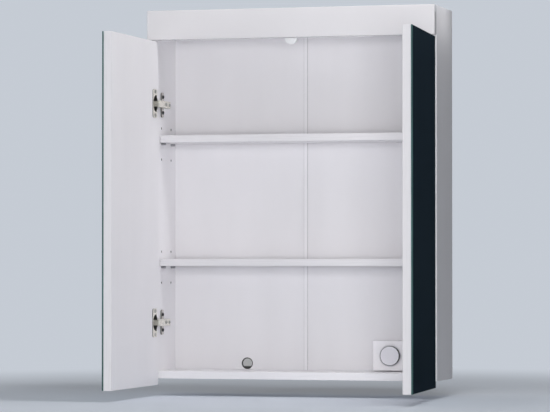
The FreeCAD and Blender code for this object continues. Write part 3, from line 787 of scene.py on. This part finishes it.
class CABINET_OT_hinges(Operator):
    """Makes the cup hinges with bright faces and walls darkened by painted shade, and plates their
    screws
    """
    bl_idname = "cabinet.hinges"
    bl_label = "Hinges"

    def execute(self, context):
        look = context.scene.cabinet.fittings
        bright = plated_finish("satin_nickel", look.nickel, roughness=0.30, metal=0.55)
        plain = plated_finish("plain_nickel", look.plate_nickel, roughness=0.32)
        # Narrow walls and cup insides take the darker nickel, a painted shade
        wall = plated_finish("dark_nickel", look.shade_wall_nickel, roughness=0.38)
        zinc = plated_finish("zinc_screws", look.zinc, roughness=0.3)
        black = plated_finish("black_screws", look.black_zinc, roughness=0.35)
        pressings = (
            ("cups", bright, sort_board),
            ("arms", bright, sort_arm),
            ("mounting_plates", plain, sort_board),
        )
        for side in ("left_hinge_", "right_hinge_"):
            for part, face, sort in pressings:
                node = side + part
                make_piece(
                    node, node + "_pressing", (face, wall, wall),
                    look.press_round, sort,
                )
            dress(zinc, side + "pins", side + "cup_screws", side + "arm_screws")
            dress(black, side + "plate_screws")
        return {"FINISHED"}


class CABINET_OT_joinery(Operator):
    """Finishes shelf pins, dowels, the door stop and the hanging brackets"""
    bl_idname = "cabinet.joinery"
    bl_label = "Pins, dowels and brackets"

    def execute(self, context):
        look = context.scene.cabinet.fittings
        zinc = plated_finish("zinc_brackets", look.zinc, roughness=0.34)
        steel = plated_finish("pin_steel", look.pin_steel, roughness=0.32)
        dress(steel, "upper_shelf_pins", "lower_shelf_pins")
        dress(wood_finish("beech", look.beech), "carcass_dowels", "pelmet_dowels")
        dress(soft_plastic_finish("milky_plastic", look.stop_clear), "door_stop")
        dress(zinc, "hanger_brackets", "hanger_screws", "door_stop_screw")
        return {"FINISHED"}


class CABINET_OT_switch(Operator):
    """Finishes the switch box and makes its push button"""
    bl_idname = "cabinet.switch"
    bl_label = "Switch"

    def execute(self, context):
        look = context.scene.cabinet.fittings
        cover = plastic_finish("switch_cover_plastic", look.cover_white, roughness=0.34)
        dress(cover, "switch_cover", "switch_base")
        cap = plastic_finish("button_plastic", look.button_grey, roughness=0.3)
        wall = plastic_finish("button_wall_plastic", look.button_wall, roughness=0.4)
        make_piece(
            "switch_button", "switch_button_cap", (cap, wall, wall),
            MOULDED_ARRIS,
        )
        zinc = plated_finish("switch_screw_zinc", look.zinc, roughness=0.3)
        dress(zinc, "switch_screws")
        return {"FINISHED"}


class CABINET_OT_stage(Operator):
    """Sets up the camera, the floor, the light and the cards"""
    bl_idname = "cabinet.stage"
    bl_label = "Stage"

    def execute(self, context):
        look = context.scene.cabinet.stage
        context.scene.view_settings.view_transform = "Standard"
        self.make_camera(context, look)
        self.make_floor(context, look)
        self.make_world(context, look)
        for lamp in LAMPS:
            self.make_light(context, lamp, getattr(look, lamp.power))
        self.make_dark_card(context)
        self.make_painted_shade_card(context, look)
        return {"FINISHED"}

    def make_camera(self, context, look):
        """The camera, aimed a little to the left of the cabinet's middle and below it."""
        azimuth, elevation = look.azimuth, look.elevation
        level = math.cos(elevation)
        back = Vector((math.sin(azimuth) * level, -math.cos(azimuth) * level, math.sin(elevation)))
        right = Vector((math.cos(azimuth), math.sin(azimuth), 0.0))
        aim = AIM_MIDDLE + right * AIM_RIGHT + back.cross(right) * AIM_UP
        data = bpy.data.cameras.new("camera")
        data.lens = look.lens
        data.sensor_width = SENSOR_WIDTH
        camera = bpy.data.objects.new("camera", data)
        camera.location = aim + back * look.distance
        camera.rotation_euler = (-back).to_track_quat("-Z", "Y").to_euler()
        context.scene.collection.objects.link(camera)
        context.scene.camera = camera

    def make_floor(self, context, look):
        """A wide plain floor under the doors."""
        bm = bmesh.new()
        bmesh.ops.create_grid(bm, x_segments=1, y_segments=1, size=FLOOR_HALF)
        mesh = bpy.data.meshes.new("floor")
        bm.to_mesh(mesh)
        bm.free()
        finish = Finish("floor")
        grain = finish.noise(FLOOR_GRAIN, detail=3.0)
        low, high = (shade(look.floor, factor) for factor in FLOOR_SHADES)
        finish.set(Base_Color=finish.tones(grain, low, high), Roughness=FLOOR_ROUGHNESS)
        self.fade_floor(finish, look)
        mesh.materials.append(finish.material)
        floor = bpy.data.objects.new("floor", mesh)
        floor.location = (0.0, 0.0, CAD_BOX[0].z - FLOOR_DROP)
        context.scene.collection.objects.link(floor)

    def fade_floor(self, finish, look):
        """Lets the floor pass into the backdrop with the distance, where it is looked at."""
        reach = finish.add("ShaderNodeVectorMath", {0: finish.place}, operation="LENGTH")
        far = finish.fade(reach.outputs["Value"], FADE_START, FADE_STOP)
        share = finish.combine("MULTIPLY", far, finish.looked_at())
        drop = finish.add("ShaderNodeEmission", {"Color": (*look.floor, 1.0)})
        finish.show(share, finish.shader.outputs[0], drop.outputs[0])

    def make_world(self, context, look):
        """Soft light all round, and a plain backdrop where it is looked at or mirrored."""
        world = bpy.data.worlds.new("surround")
        world.use_nodes = True
        sky = Nodes(world.node_tree)
        way = sky.add("ShaderNodeTexCoord").outputs["Generated"]

        def lobe(towards, start, stop, strength):
            """Light that grows as a ray turns towards one direction."""
            ends = {0: way, 1: Vector(towards).normalized()}
            turn = sky.add("ShaderNodeVectorMath", ends, operation="DOT_PRODUCT")
            return sky.fade(turn.outputs["Value"], start, stop, most=strength)

        both = sky.combine("ADD", lobe(*REAR_LOBE, look.rear), lobe(*ABOVE_LOBE, look.above))
        light = sky.tree.nodes["Background"]
        sky.feed(light, "Color", (1.0, 1.0, 1.0, 1.0))
        sky.feed(light, "Strength", sky.combine("ADD", both, look.sky))
        drop = sky.add("ShaderNodeBackground", {"Color": (*look.floor, 1.0)})
        sky.show(sky.looked_at(), light.outputs[0], drop.outputs[0])
        context.scene.world = world

    def make_light(self, context, lamp, power):
        """A soft light at its place, turned to its aim."""
        data = bpy.data.lights.new(lamp.name, "AREA")
        data.energy = power
        data.shape = "RECTANGLE"
        data.size, data.size_y = lamp.width, lamp.height
        data.spread = lamp.spread
        light = bpy.data.objects.new(lamp.name, data)
        light.location = lamp.place
        way = Vector(lamp.aim) - Vector(lamp.place)
        light.rotation_euler = way.to_track_quat("-Z", "Y").to_euler()
        light.visible_camera = False
        light.visible_glossy = False
        context.scene.collection.objects.link(light)

    def make_dark_card(self, context):
        """A dark card beside the right door, level with the rear, that only mirrors see."""
        finish = Finish("dark_card")
        nap = finish.noise(DARK_CARD_NAP)
        finish.set(
            Base_Color=finish.tones(nap, *DARK_CARD_TONES),
            Roughness=DARK_CARD_ROUGHNESS,
            Specular_IOR_Level=0.0,
        )
        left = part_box("right_side_panel")[1].x
        right = left + DARK_CARD_WIDTH
        low, high = CAD_BOX[0].z - FLOOR_DROP, CAD_BOX[1].z
        card = self.make_card(context, "dark_card", finish.material, left, right, low, high)
        card.visible_camera = False
        card.visible_transmission = False

    def make_painted_shade_card(self, context, look):
        """A glowing card behind the cable hole, a painted shade with a painted shadow at its foot,
        clear from the rear.
        """
        finish = Finish("grey_card")
        height = finish.add("ShaderNodeSeparateXYZ", {"Vector": finish.place}).outputs["Z"]
        share = finish.fade(height, *GREY_CARD_FOOT, ease="LINEAR")
        foot = shade(look.shade_card_grey, GREY_CARD_FOOT_SHADE)
        tone = finish.tones(share, foot, look.shade_card_grey, start=0.0, stop=1.0)
        # The card glows with a painted shade; it is no lamp
        glow = finish.add("ShaderNodeEmission", {"Color": tone})
        clear = finish.add("ShaderNodeBsdfTransparent")
        rear = finish.add("ShaderNodeNewGeometry").outputs["Backfacing"]
        finish.show(rear, glow.outputs[0], clear.outputs[0])
        half = GREY_CARD_HALF
        card = self.make_card(context, "grey_card", finish.material, -half, half, -half, half)
        card.location = (CABLE_HOLE[0], GREY_CARD_BEHIND, CABLE_HOLE[2])

    def make_card(self, context, name, material, left, right, low, high):
        """An upright card that faces the front and neither lights nor shades the cabinet."""
        corners = ((left, 0.0, low), (right, 0.0, low), (right, 0.0, high), (left, 0.0, high))
        mesh = bpy.data.meshes.new(name)
        mesh.from_pydata(corners, [], [(0, 1, 2, 3)])
        mesh.materials.append(material)
        card = bpy.data.objects.new(name, mesh)
        card.visible_diffuse = False
        card.visible_shadow = False
        context.scene.collection.objects.link(card)
        return card


class CABINET_PT_panel(Panel):
    """Lists the cabinet's settings and steps"""
    bl_idname = "CABINET_PT_panel"
    bl_label = "Mirrored Wall Cabinet"
    bl_space_type = "VIEW_3D"
    bl_region_type = "UI"
    bl_category = "Cabinet"

    def draw(self, context):
        looks = context.scene.cabinet
        for group in (looks.boards, looks.mirrors, looks.fittings, looks.stage):
            box = self.layout.box()
            for key in group.__annotations__:
                box.prop(group, key)
        for step in STEPS:
            self.layout.operator(step.bl_idname)


STEPS = (
    CABINET_OT_boards, CABINET_OT_pelmet, CABINET_OT_back, CABINET_OT_mirrors, CABINET_OT_hinges,
    CABINET_OT_joinery, CABINET_OT_switch, CABINET_OT_stage,
)
GROUPS = (BoardSettings, MirrorSettings, FittingSettings, StageSettings, CabinetSettings)


def register():
    """Makes the settings, steps and panel known."""
    for item in (*GROUPS, *STEPS, CABINET_PT_panel):
        bpy.utils.register_class(item)
    bpy.types.Scene.cabinet = PointerProperty(type=CabinetSettings)


def unregister():
    """Takes the settings, steps and panel away again."""
    del bpy.types.Scene.cabinet
    for item in reversed((*GROUPS, *STEPS, CABINET_PT_panel)):
        bpy.utils.unregister_class(item)


def main():
    """Runs every step in order."""
    register()
    for step in STEPS:
        group, name = step.bl_idname.split(".")
        getattr(getattr(bpy.ops, group), name)()


if __name__ == "__main__":
    main()
